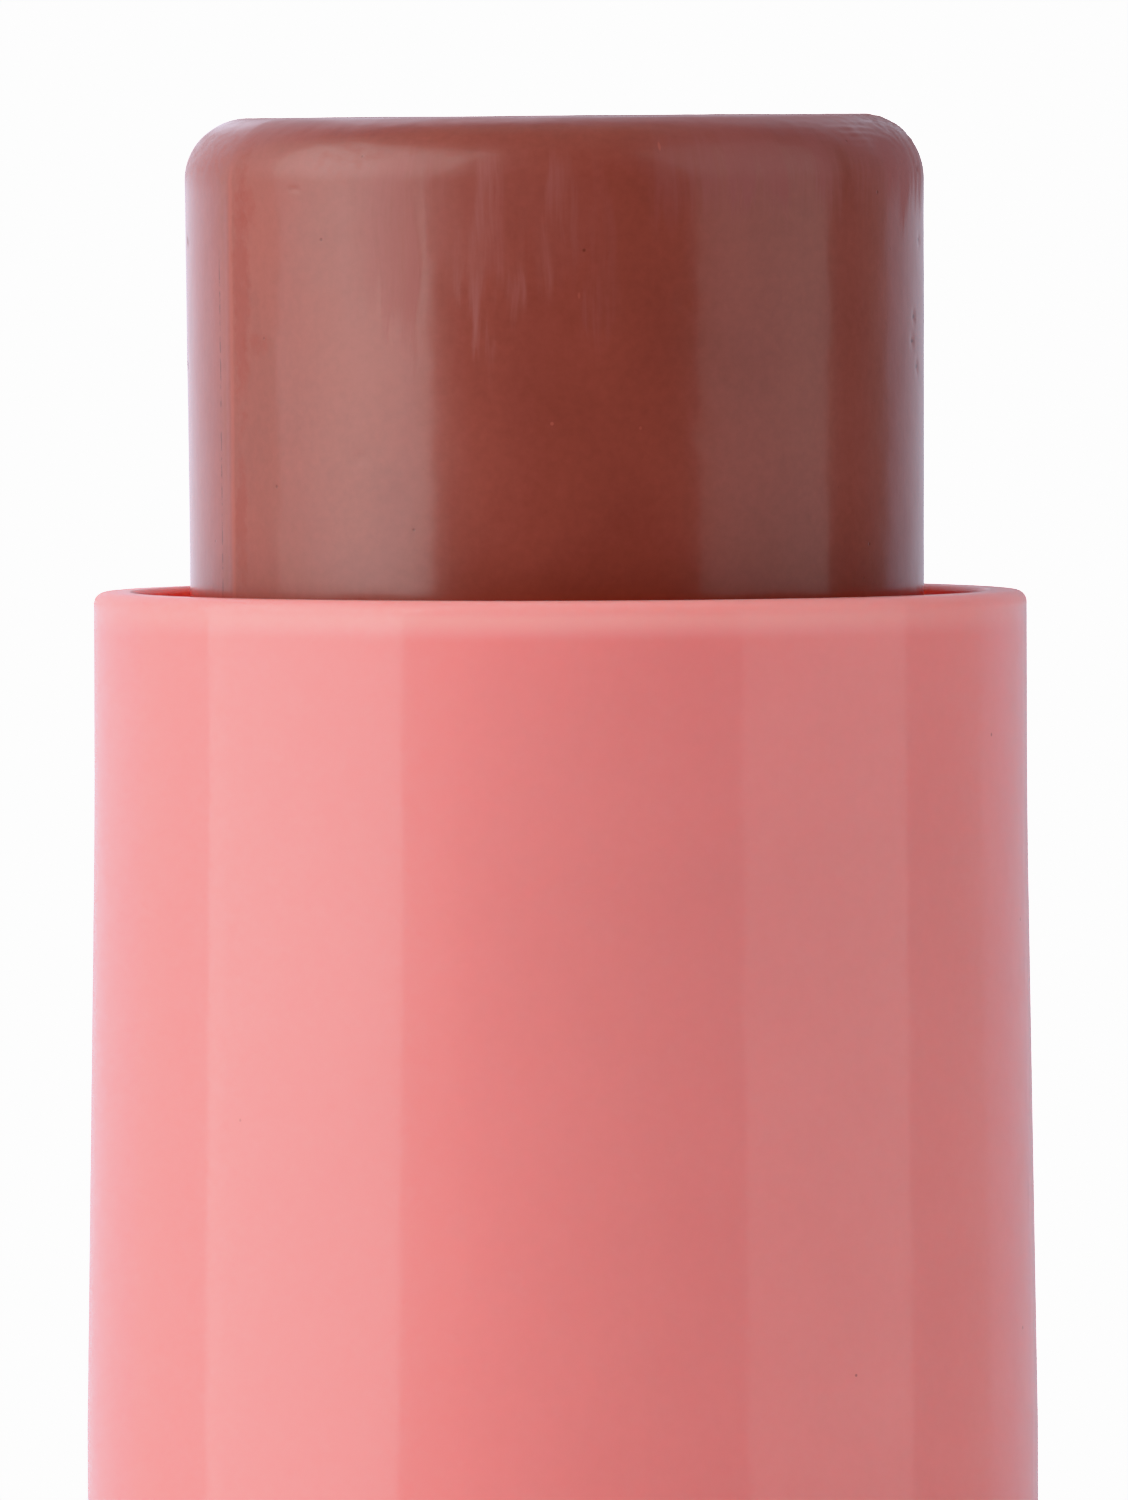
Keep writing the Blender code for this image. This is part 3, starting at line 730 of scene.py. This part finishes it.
@dataclass(frozen=True)
class TurnedForm:
    """Turns outlines about the stick's axis into smooth meshes.

    Segments are the faces round the axis and round_steps those across a rounded corner. Support
    is how far from a corner its support loops lie.
    """

    segments: int = 256
    round_steps: int = 8
    support: float = 0.02 * MM

    def rounded(self, outline: Sequence[Corner], closed: bool) -> list[Vector]:
        """Puts an arc, with support points beyond its ends, at each rounded corner.

        Args:
            outline: corners as (radius, height, rounding), running down the outer side.
            closed: whether the last corner joins the first.

        Returns:
            The outline's points as (radius, height).
        """
        corners = [(Vector(corner[:2]), corner[2]) for corner in outline]
        points: list[Vector] = []
        for index, (corner, rounding) in enumerate(corners):
            if not closed and index in (0, len(corners) - 1):
                points.append(corner)
                continue
            back = (corners[index - 1][0] - corner).normalized()
            onward = (corners[(index + 1) % len(corners)][0] - corner).normalized()
            if rounding == 0:
                points += [corner + back * self.support, corner, corner + onward * self.support]
                continue
            half = back.angle(onward) / 2
            centre = corner + (back + onward).normalized() * rounding / math.sin(half)
            reach = rounding / math.tan(half)
            arm = corner + back * reach - centre
            sweep = (math.pi - 2 * half) * (1 if back.cross(onward) < 0 else -1)
            points.append(corner + back * (reach + self.support))
            for step in range(self.round_steps + 1):
                turn = Matrix.Rotation(sweep * step / self.round_steps, 2)
                points.append(centre + turn @ arm)
            points.append(corner + onward * (reach + self.support))
        return points

    def mesh(self, name: str, points: Sequence[Vector], closed: bool) -> Piece:
        """Turns an outline's points about the axis.

        Args:
            name: the new object's name.
            points: the outline as (radius, height), running down the outer side.
            closed: whether the last point joins the first.

        Returns:
            A closed, smooth-shaded object in the scene, with sharp edges at sharp corners.
        """
        shape = bmesh.new()
        turns = [2 * math.pi * step / self.segments for step in range(self.segments)]
        rings = []
        for point in points:
            if point.x == 0:
                rings.append([shape.verts.new((0.0, 0.0, point.y))] * self.segments)
                continue
            at = [(math.sin(turn) * point.x, -math.cos(turn) * point.x, point.y) for turn in turns]
            rings.append([shape.verts.new(place) for place in at])
        for ring, below in zip(rings, rings[1:] + rings[:1] if closed else rings[1:]):
            for left in range(self.segments):
                right = (left + 1) % self.segments
                corners = (ring[left], below[left], below[right], ring[right])
                shape.faces.new(list(dict.fromkeys(corners)))
        piece = add_mesh(name, shape)
        piece.data.shade_smooth()
        piece.data.set_sharp_from_angle(angle=SHARP_ANGLE)
        return piece


def cut_shape(piece: Piece, shape: bmesh.types.BMesh) -> None:
    """Cuts a closed shape, which is freed, from a piece and keeps the result as its mesh."""
    cutter = add_mesh("cut", shape)
    step = piece.modifiers.new("Cut", "BOOLEAN")
    step.object = cutter
    step.solver = "EXACT"
    bpy.context.view_layer.update()
    evaluated = piece.evaluated_get(bpy.context.evaluated_depsgraph_get())
    result = bpy.data.meshes.new_from_object(evaluated)
    piece.modifiers.clear()
    piece.data = result
    bpy.data.objects.remove(cutter)


def settle(piece: Piece, body: Body, finish: Finish, node: str) -> None:
    """Gives a piece its finish and its body, and hides the frame's node that it stands for.

    Args:
        piece: the piece, in place.
        body: the body it rides on.
        finish: its finish.
        node: the frame's node that it replaces.
    """
    piece.data.materials.clear()
    piece.data.materials.append(finish.material(piece.name))
    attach(piece, body.value)
    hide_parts(node)
    log.info("%s: %d faces, rides on %s", piece.name, len(piece.data.polygons), body.value)


@dataclass(frozen=True)
class Relief:
    """Noise that raises and sinks a surface. A greater increment makes it smoother."""

    height_mm: float
    scale: float
    increment: float
    octaves: int = 3

    def at(self, point_mm: Vector, share: float = 1.0) -> float:
        """How far the surface stands out at a point, in millimetres."""
        wave = noise.fractal(point_mm * self.scale, self.increment, 2.0, self.octaves)
        return self.height_mm * share * wave


@dataclass(frozen=True)
class Spot:
    """A point of the smooth bullet: its azimuth, distance from the axis and depth under the tip."""

    at_mm: Vector
    azimuth: float
    spread: float
    below_mm: float


@dataclass
class BlushBullet:
    """The bar of blush: moulded straight, with a seam, pores and a crumbled edge at its tip."""

    corner: float = 1.38 * MM
    draft: float = 0.17 * MM
    stem_step: float = 0.54 * MM
    cup_depth: float = 6.8 * MM
    bore: float = 2.95 * MM
    bore_depth: float = 28.2 * MM
    groove_count: int = 4
    groove_half_width: float = 0.6 * MM
    groove_depth: float = 0.65 * MM
    groove_height: float = 5.1 * MM
    fine_zone: float = 2.2 * MM
    seam_azimuth: float = math.radians(-60.8)
    seam_half_width: float = 0.10 * MM
    seam_rise: float = 0.018 * MM
    seam_from_mm: float = 1.0
    top_tilt: float = 0.07 * MM
    top_wear: float = 0.012 * MM
    tilt_reach_mm: float = 1.6
    lean: float = -0.004
    swell: Relief = Relief(0.008, 0.35, 1.0)
    grain: Relief = Relief(0.0025, 1.7, 0.8)
    crumbs: Relief = Relief(0.050, 3.6, 0.9)
    worn_edge: Relief = Relief(0.006, 2.1, 0.9, 2)
    crumbs_from_mm: float = 5.0
    crumbs_side: int = 9
    ridges_below_mm: Pair = (0.26, 0.36)
    ridge_wander_mm: float = 0.05
    ridge_gap_mm: float = 0.13
    ridge_height_mm: float = 0.030
    pit_radius: float = 0.10 * MM
    pit_depth: float = 0.035 * MM
    placed_pit_size: float = 1.4
    pits_from_mm: float = 0.8
    pit_cell_mm: float = 0.9
    pit_seed: float = 7.3
    pit_rarity: float = -0.55
    segments: int = 400
    shown: float = 10.6 * MM
    ring_gaps: tuple[float, float, float] = (0.045 * MM, 0.12 * MM, 1.0 * MM)
    low: Vector = field(init=False)
    high: Vector = field(init=False)

    def __post_init__(self) -> None:
        """Takes its foot, tip and radius from the frame."""
        self.low, self.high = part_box("blush_bullet")

    @property
    def radius(self) -> float:
        """The radius at the tip."""
        return self.high.x

    def form(self) -> TurnedForm:
        """A form fine enough for the bullet's small marks, also across its rolled corner."""
        return TurnedForm(self.segments, math.ceil(self.corner * math.pi / 2 / self.ring_gaps[0]))

    def outline(self) -> list[Corner]:
        """The outline's corners, from the middle of the tip to the end of the bore."""
        tip, foot = self.high.z, self.low.z
        shoulder = foot + self.cup_depth
        stem = self.radius - self.stem_step
        leaned = self.draft * self.fine_zone / (tip - shoulder)
        return [
            (0, tip, 0),
            (self.radius - self.fine_zone, tip, 0),
            (self.radius, tip, self.corner),
            (self.radius - leaned, tip - self.fine_zone, 0),
            (self.radius - self.draft, shoulder, 0),
            (stem, shoulder, 0),
            (stem, foot, 0),
            (self.bore, foot, 0),
            (self.bore, foot + self.bore_depth, 0),
            (0, foot + self.bore_depth, 0),
        ]

    def rings(self) -> list[Vector]:
        """The outline cut into short steps, shorter ones near the tip's edge."""
        points = self.form().rounded(self.outline(), False)
        fine, medium, coarse = self.ring_gaps
        shown_to = self.high.z - self.shown
        cut = [points[0]]
        for start, end in zip(points, points[1:]):
            crossing = min(start.y, end.y) < shown_to < max(start.y, end.y)
            if crossing and start.x > self.bore * 2:
                middle = start.lerp(end, (start.y - self.high.z + self.shown) / (start.y - end.y))
                steps = math.ceil((middle - start).length / medium)
                cut += [start.lerp(middle, step / steps) for step in range(1, steps + 1)]
                start = middle
            middle = (start + end) / 2
            below = self.high.z - middle.y
            gap = medium if below < self.shown and middle.x > self.bore * 2 else coarse
            if middle.x > self.radius - self.fine_zone and below < self.fine_zone:
                gap = fine
            steps = max(1, math.ceil((end - start).length / gap))
            cut += [start.lerp(end, step / steps) for step in range(1, steps + 1)]
        return cut

    def shaped(self, point: Vector, normal: Vector) -> Vector:
        """Moves a point of the smooth form to where the real surface is.

        Args:
            point: the point on the turned form.
            normal: the form's normal there.

        Returns:
            The moved point.
        """
        spread = math.hypot(point.x, point.y)
        below = (self.high.z - point.z) / MM
        spot = Spot(point / MM, math.atan2(point.x, -point.y), spread, below)
        in_bore = spread < self.bore + MM / 100 and point.z < self.high.z - MM
        if point.z < self.low.z + self.cup_depth or in_bore:
            return self.grooved(point, spot)
        outward = self.swell.at(spot.at_mm) + self.grain.at(spot.at_mm)
        outward += self.seam(spot) / MM
        if below < self.fine_zone / MM:
            outward += self.crumble(spot)
        outward -= self.pits(spot) / MM
        moved = point + normal * outward * MM
        if below < self.tilt_reach_mm:
            share = 1 - below / self.tilt_reach_mm
            moved.z += self.top_tilt * share * (0.5 * point.x / self.radius - 0.5)
            moved.z -= self.top_wear * share * (0.5 + 0.5 * noise.noise(spot.at_mm * 0.5))
        moved.x += self.lean * max(0.0, moved.z - self.low.z - self.cup_depth)
        moved.z = min(moved.z, self.high.z)
        return moved

    def grooved(self, point: Vector, spot: Spot) -> Vector:
        """Sinks the four grooves in the stem that the cup's ribs fill."""
        stem = self.radius - self.stem_step
        if spot.spread < stem - MM / 20 or point.z > self.low.z + self.groove_height:
            return point
        quarter = 2 * math.pi / self.groove_count
        offset = ((spot.azimuth + quarter) % quarter - quarter / 2) * spot.spread
        if abs(offset) > self.groove_half_width:
            return point
        return point - Vector((point.x, point.y, 0)) * (self.groove_depth / spot.spread)

    def seam(self, spot: Spot) -> float:
        """The height of the mould's seam in metres, a thin raised line down two sides."""
        rise = 0.0
        for line in (self.seam_azimuth, self.seam_azimuth + math.pi):
            gap = math.remainder(spot.azimuth - line, 2 * math.pi) * spot.spread
            rise += self.seam_rise * max(0.0, 1 - (gap / self.seam_half_width) ** 2)
        return rise * min(1.0, max(0.0, spot.below_mm - self.seam_from_mm))

    def crumble(self, spot: Spot) -> float:
        """Torn ridges and crumbs on the corner at the right, where it has rubbed on the cap.

        Args:
            spot: the point on the smooth bullet.

        Returns:
            How far the surface stands out, in millimetres.
        """
        at, below = spot.at_mm, spot.below_mm
        inwards = spot.spread / MM - self.crumbs_from_mm
        if inwards < 0:
            return 0.0
        corner = self.corner / MM
        reach = self.radius / MM - corner
        inside = corner - math.hypot(max(0.0, abs(at.x) - reach), max(0.0, corner - below))
        side = max(0.0, math.sin(spot.azimuth)) ** self.crumbs_side if at.x > 0 else 0.0
        middle, width = self.ridges_below_mm
        edge = math.exp(-(((below - middle) / width) ** 2)) * min(1.0, inwards)
        wander = self.ridge_wander_mm * noise.noise(at * 0.9)
        waves = math.sin((inside + wander) * 2 * math.pi / self.ridge_gap_mm)
        broken = max(0.0, noise.noise(at * 1.6) + 0.45)
        torn = self.ridge_height_mm * waves * broken + self.crumbs.at(at)
        return side * edge * torn + self.worn_edge.at(at, edge)

    def pits(self, spot: Spot) -> float:
        """The depth in metres of small pits: a few on the right flank, and scattered ones."""
        below = spot.below_mm
        if below < self.pits_from_mm or below * MM > self.shown:
            return 0.0
        depth = 0.0
        for pit in BLUSH.pits:
            across = (spot.azimuth - math.radians(pit.azimuth_deg)) * spot.spread
            away = math.hypot(across, (below - pit.drop_mm) * MM)
            away /= self.placed_pit_size * self.pit_radius
            depth += self.pit_depth * max(0.0, 1 - away * away)
        distances, centres = noise.voronoi(spot.at_mm / self.pit_cell_mm)
        if noise.cell(centres[0] * self.pit_seed) < self.pit_rarity:
            away = distances[0] * self.pit_cell_mm * MM / self.pit_radius
            depth += self.pit_depth * max(0.0, 1 - away**2)
        return depth

    def build(self) -> Piece:
        """Makes the bullet's mesh, in place."""
        piece = self.form().mesh("blush_bar", self.rings(), False)
        shape = bmesh.new()
        shape.from_mesh(piece.data)
        shape.normal_update()
        moved = [self.shaped(vert.co.copy(), vert.normal.copy()) for vert in shape.verts]
        for vert, place in zip(shape.verts, moved):
            vert.co = place
        shape.to_mesh(piece.data)
        shape.free()
        return piece

    def dress(self) -> None:
        """Builds the bullet and gives it its finish."""
        settle(self.build(), Body.CARRIAGE, BLUSH, "blush_bullet")


@dataclass
class NeckShell:
    """The glossy tube round the bullet: straight under its rim, then flaring a little.

    Its dust specks are given by degrees round the axis, and by depth and size in millimetres.
    """

    form: TurnedForm
    bore: float = 9.14 * MM
    wall: float = 0.86 * MM
    straight: float = 4.7 * MM
    flare: float = 0.2 * MM
    flare_length: float = 13.2 * MM
    flare_blend: float = 200 * MM
    rim_outer_round: float = 0.26 * MM
    rim_inner_round: float = 0.12 * MM
    bead_height: float = 5.0 * MM
    bead_half: float = 0.4 * MM
    bead_reach: float = 0.2 * MM
    notch_width: float = 3.4 * MM
    notch_height: float = 1.7 * MM
    specks: tuple[tuple[float, float, float], ...] = (
        (66.3, 3.0, 0.05),
        (77.5, 7.0, 0.05),
        (75.0, 15.7, 0.05),
        (37.5, 16.4, 0.04),
        (-42.3, 11.0, 0.05),
    )

    def build(self) -> Piece:
        """Makes the shell's mesh, in place."""
        low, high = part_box("neck_shell")
        rim, foot = high.z, low.z
        outer = self.bore + self.wall
        wide = outer + self.flare
        bead = foot + self.bead_height
        outline = [
            (outer, rim, self.rim_outer_round),
            (outer, rim - self.straight, self.flare_blend),
            (wide, rim - self.straight - self.flare_length, 0),
            (wide, bead + self.bead_half, 0),
            (wide + self.bead_reach, bead, 0),
            (wide, bead - self.bead_half, 0),
            (wide, foot, 0),
            (self.bore, foot, 0),
            (self.bore, rim, self.rim_inner_round),
        ]
        piece = self.form.mesh("neck_tube", self.form.rounded(outline, True), True)
        size = (self.notch_width, 4 * wide, 2 * self.notch_height, 1)
        place = Matrix.Translation((0, 0, foot)) @ Matrix.Diagonal(size)
        notches = bmesh.new()
        bmesh.ops.create_cube(notches, size=1, matrix=place)
        cut_shape(piece, notches)
        return piece

    def dress(self) -> None:
        """Builds the shell and gives it its finish, with the photograph's few dust specks."""
        specks = tuple(Mark(turn, drop, size, size, 0.45) for turn, drop, size in self.specks)
        # The rim's height turns on the shell's painted highlight under the rim and places its dust
        # specks.
        finish = replace(PINK, rim_mm=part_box("neck_shell")[1].z / MM, marks=specks)
        settle(self.build(), Body.SHELL, finish, "neck_shell")


@dataclass
class BodySleeve:
    """The sleeve that a hand holds, with the cap's shoulder on top and a lip at its foot."""

    form: TurnedForm
    wall: float = 1.15 * MM
    lip: float = 1.1 * MM
    lip_bore: float = 9.34 * MM
    shoulder_round: float = 0.35 * MM
    seam_round: float = 0.25 * MM
    groove_height: float = 7.7 * MM
    groove_half: float = 0.55 * MM
    groove_depth: float = 0.2 * MM

    def build(self) -> Piece:
        """Makes the sleeve's mesh, in place."""
        low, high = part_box("body_shell")
        outer, foot, top = high.x, low.z, high.z
        bore = outer - self.wall
        groove = foot + self.groove_height
        outline = [
            (outer, top, self.shoulder_round),
            (outer, foot, self.seam_round),
            (self.lip_bore, foot, 0),
            (self.lip_bore, foot + self.lip, 0),
            (bore, foot + self.lip, 0),
            (bore, groove - self.groove_half, 0),
            (bore + self.groove_depth, groove, 0),
            (bore, groove + self.groove_half, 0),
            (bore, top, 0),
        ]
        return self.form.mesh("body_sleeve", self.form.rounded(outline, True), True)

    def dress(self) -> None:
        """Builds the sleeve and gives it its finish."""
        settle(self.build(), Body.SHELL, PINK, "body_shell")


@dataclass
class BaseDial:
    """The dial that is twisted: a cup with a socketed hub inside and a shallow recess below."""

    form: TurnedForm
    wall: float = 1.3 * MM
    floor: float = 1.6 * MM
    hub_radius: float = 3.4 * MM
    hub_height: float = 6.6 * MM
    socket_radius: float = 2.0 * MM
    socket_depth: float = 5.6 * MM
    foot_round: float = 0.6 * MM
    seam_round: float = 0.25 * MM
    recess_from_edge: float = 3.0 * MM
    recess_depth: float = 0.4 * MM

    def build(self) -> Piece:
        """Makes the dial's mesh, in place."""
        low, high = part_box("base_dial")
        outer, foot, top = high.x, low.z, high.z
        hub_top = foot + self.floor + self.hub_height
        outline = [
            (0, hub_top, 0),
            (self.hub_radius, hub_top, 0),
            (self.hub_radius, foot + self.floor, 0),
            (outer - self.wall, foot + self.floor, 0),
            (outer - self.wall, top, 0),
            (outer, top, self.seam_round),
            (outer, foot, self.foot_round),
            (outer - self.recess_from_edge, foot, 0),
            (outer - self.recess_from_edge, foot + self.recess_depth, 0),
            (0, foot + self.recess_depth, 0),
        ]
        piece = self.form.mesh("twist_dial", self.form.rounded(outline, False), False)
        socket = bmesh.new()
        place = Matrix.Translation((0, 0, hub_top))
        wide, deep = self.socket_radius, 2 * self.socket_depth
        bmesh.ops.create_cone(
            socket, cap_ends=True, segments=6, radius1=wide, radius2=wide, depth=deep, matrix=place
        )
        cut_shape(piece, socket)
        return piece

    def dress(self) -> None:
        """Builds the dial and gives it its finish."""
        settle(self.build(), Body.TWIST_BASE, PINK, "base_dial")


@dataclass
class Mechanism:
    """The inner pieces, which keep the frame's shapes in better finishes."""

    finishes: tuple[tuple[str, Finish], ...] = (
        ("carrier_cup", WHITE),
        ("lead_screw", WHITE),
        ("guide_tube", NATURAL),
        ("base_weight", STEEL),
        ("friction_ring", RUBBER),
    )

    def dress(self) -> None:
        """Gives each inner piece its finish."""
        for node, finish in self.finishes:
            made = finish.material(f"{node}_finish")
            for material_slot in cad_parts[node].material_slots:
                material_slot.material = made
            log.info("%s keeps its shape in a new finish", node)


@dataclass(frozen=True)
class Softbox:
    """A soft rectangular light that faces the stick's axis."""

    name: str
    azimuth: float
    elevation: float
    distance: float
    width: float
    height: float
    power: float
    bright_gain: float = 0.36
    bright_at: float = 0.45
    bright_reach: float = 0.33
    top_fade: float = 0.75
    top_fades: Pair = (0.70, 1.15)

    def glow(self, light: bpy.types.Light) -> None:
        """Makes an area light brightest a little under its middle, and fading at its top."""
        light.use_nodes = True
        graph = Graph(light.node_tree)
        across = graph.node("ShaderNodeNewGeometry").outputs["Parametric"]
        split = graph.node("ShaderNodeSeparateXYZ", {}, {0: across})
        up = Shade(graph, split.outputs[1])
        strength = up.bell(self.bright_at, self.bright_reach) * self.bright_gain + 1
        strength = strength * (1 - up.step(*self.top_fades) * self.top_fade)
        lamp = graph.node("ShaderNodeEmission", {}, {"Strength": strength})
        graph.node("ShaderNodeOutputLight", {}, {"Surface": lamp.outputs[0]})

    def place(self, aim: Vector) -> None:
        """Puts the light in the scene, turned to face a point."""
        light = bpy.data.lights.new(self.name, "AREA")
        light.shape = "RECTANGLE"
        light.size = self.width
        light.size_y = self.height
        light.energy = self.power
        self.glow(light)
        lamp = add_object(light)
        level = math.cos(self.elevation)
        across, ahead = math.sin(self.azimuth) * level, -math.cos(self.azimuth) * level
        away = Vector((across, ahead, math.sin(self.elevation)))
        lamp.location = aim + away * self.distance
        lamp.rotation_euler = (-away).to_track_quat("-Z", "Y").to_euler()
        lamp.visible_camera = False


@dataclass
class Studio:
    """A plain studio: a pale floor, two softboxes and a pale room, brightest at the left.

    The room's zones are given by their strength, and those of a pair for the left and the right.
    """

    aim: Vector
    floor_radius: float = 0.42
    floor_solid: float = 0.16
    floor_edge_mm: float = 5.0
    floor_greys: Pair = (0.78, 0.82)
    floor_roughness: float = 0.6
    softboxes: tuple[Softbox, ...] = (
        Softbox("key_left", math.radians(-67.6), math.radians(25), 0.42, 0.513, 0.59, 2.94),
        Softbox("fill_right", math.radians(69.4), math.radians(25), 0.42, 0.427, 0.59, 0.76),
    )
    front: float = 0.32
    sides: Pair = (1.01, 0.365)
    backs: Pair = (0.907, 0.54)
    back_upper: float = 0.39
    ceiling: float = 0.521
    sides_from: float = math.radians(90)
    back_from: float = math.radians(126)
    edge: float = math.radians(3)
    upper_from: Pair = (0.60, 0.85)
    ceiling_from: Pair = (0.80, 0.92)
    seen: float = 4.0
    tint: Colour = (0.99, 1.00, 1.01)
    back_tint: Colour = (1.05, 1.00, 1.17)

    def floor(self) -> None:
        """Lays the pale floor, which fades out towards its edge."""
        shape = bmesh.new()
        bmesh.ops.create_circle(shape, cap_ends=True, segments=128, radius=self.floor_radius)
        floor = add_mesh("floor", shape)
        made = bpy.data.materials.new("pale_floor")
        made.use_nodes = True
        graph = Graph(made.node_tree)
        place = Place(graph)
        grain = place.noise(Grain(0.05, 3.0))
        clear = self.floor_radius / MM - self.floor_edge_mm
        inputs = {
            "Base Color": graph.mix(grain, *((grey, grey, grey) for grey in self.floor_greys)),
            "Roughness": self.floor_roughness,
            "Alpha": place.radius().step(clear, self.floor_solid / MM),
        }
        shader = graph.node("ShaderNodeBsdfPrincipled", {}, inputs)
        graph.node("ShaderNodeOutputMaterial", {}, {"Surface": shader.outputs[0]})
        floor.data.materials.append(made)

    def room(self) -> None:
        """Paints the room: white to the camera, and by zones round the stick for its gloss."""
        world = bpy.data.worlds.new("room")
        bpy.context.scene.world = world
        world.use_nodes = True
        graph = Graph(world.node_tree)
        way = graph.node("ShaderNodeTexCoord").outputs["Generated"]
        split = graph.node("ShaderNodeSeparateXYZ", {}, {0: way})
        x, y, z = (Shade(graph, socket) for socket in split.outputs)
        azimuth = x.atan2(0 - y)
        light: Feed = self.front
        upper = z.step(*self.upper_from)
        for side, flank, back in zip((-1, 1), self.sides, self.backs):
            turned = azimuth * side
            beside = turned.step(self.sides_from, self.sides_from + self.edge)
            behind = turned.step(self.back_from, self.back_from + self.edge)
            light = beside * (flank - light) + light
            light = behind * (upper * (self.back_upper - back) + back - light) + light
        level = z.step(*self.ceiling_from)
        light = light * (1 - level) + level * self.ceiling
        behind = abs(azimuth).step(self.back_from, self.back_from + self.edge)
        colour = graph.mix(behind * (1 - level), self.tint, self.back_tint)
        inside = graph.node("ShaderNodeBackground", {}, {"Color": colour, "Strength": light})
        white = {"Color": (1.0, 1.0, 1.0), "Strength": self.seen}
        seen = graph.node("ShaderNodeBackground", {}, white)
        ray = graph.node("ShaderNodeLightPath").outputs["Is Camera Ray"]
        parts = {0: ray, 1: inside.outputs[0], 2: seen.outputs[0]}
        both = graph.node("ShaderNodeMixShader", {}, parts)
        graph.node("ShaderNodeOutputWorld", {}, {"Surface": both.outputs[0]})

    def build(self) -> None:
        """Makes the whole studio."""
        self.floor()
        for box in self.softboxes:
            box.place(self.aim)
        self.room()
        bpy.context.scene.view_settings.view_transform = "Khronos PBR Neutral"
        log.info("studio: floor, two softboxes, pale room")


@dataclass
class PhotographersView:
    """The camera, at the photograph's angle and framing."""

    frame_px: tuple[int, int] = (1128, 1500)
    px_per_mm: float = 46.68
    rim_px: float = 590.2
    axis_px: float = 560.8
    distance: float = 0.50
    rim_elevation: float = math.radians(1.35)
    roll: float = math.radians(-0.17)
    sensor: float = 0.036

    def build(self) -> None:
        """Makes the camera and sets it as the scene's."""
        width_px, height_px = self.frame_px
        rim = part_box("neck_shell")[1].z
        across = (width_px / 2 - self.axis_px) / self.px_per_mm * MM
        aim = Vector((across, 0.0, rim - (height_px / 2 - self.rim_px) / self.px_per_mm * MM))
        lens = bpy.data.cameras.new("photographers_view")
        lens.sensor_width = self.sensor / MM
        lens.lens = self.sensor * self.distance / (height_px / self.px_per_mm * MM) / MM
        camera = add_object(lens)
        rise = rim + self.distance * math.tan(self.rim_elevation) - aim.z
        camera.location = aim + Vector((0.0, -self.distance, rise))
        look = (aim - camera.location).to_track_quat("-Z", "Y").to_matrix().to_4x4()
        camera.rotation_euler = (look @ Matrix.Rotation(self.roll, 4, "Z")).to_euler()
        bpy.context.scene.camera = camera
        log.info("camera: %.0f mm lens at %.2f m", lens.lens, self.distance)


def main() -> None:
    """Builds the camera, the studio and every piece of the stick."""
    logging.basicConfig(level=logging.INFO, format="%(message)s")
    PhotographersView().build()
    Studio(aim=Vector((0.0, 0.0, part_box("neck_shell")[1].z))).build()
    form = TurnedForm()
    NeckShell(form).dress()
    BodySleeve(form).dress()
    BaseDial(form).dress()
    BlushBullet().dress()
    Mechanism().dress()


if __name__ == "__main__":
    main()
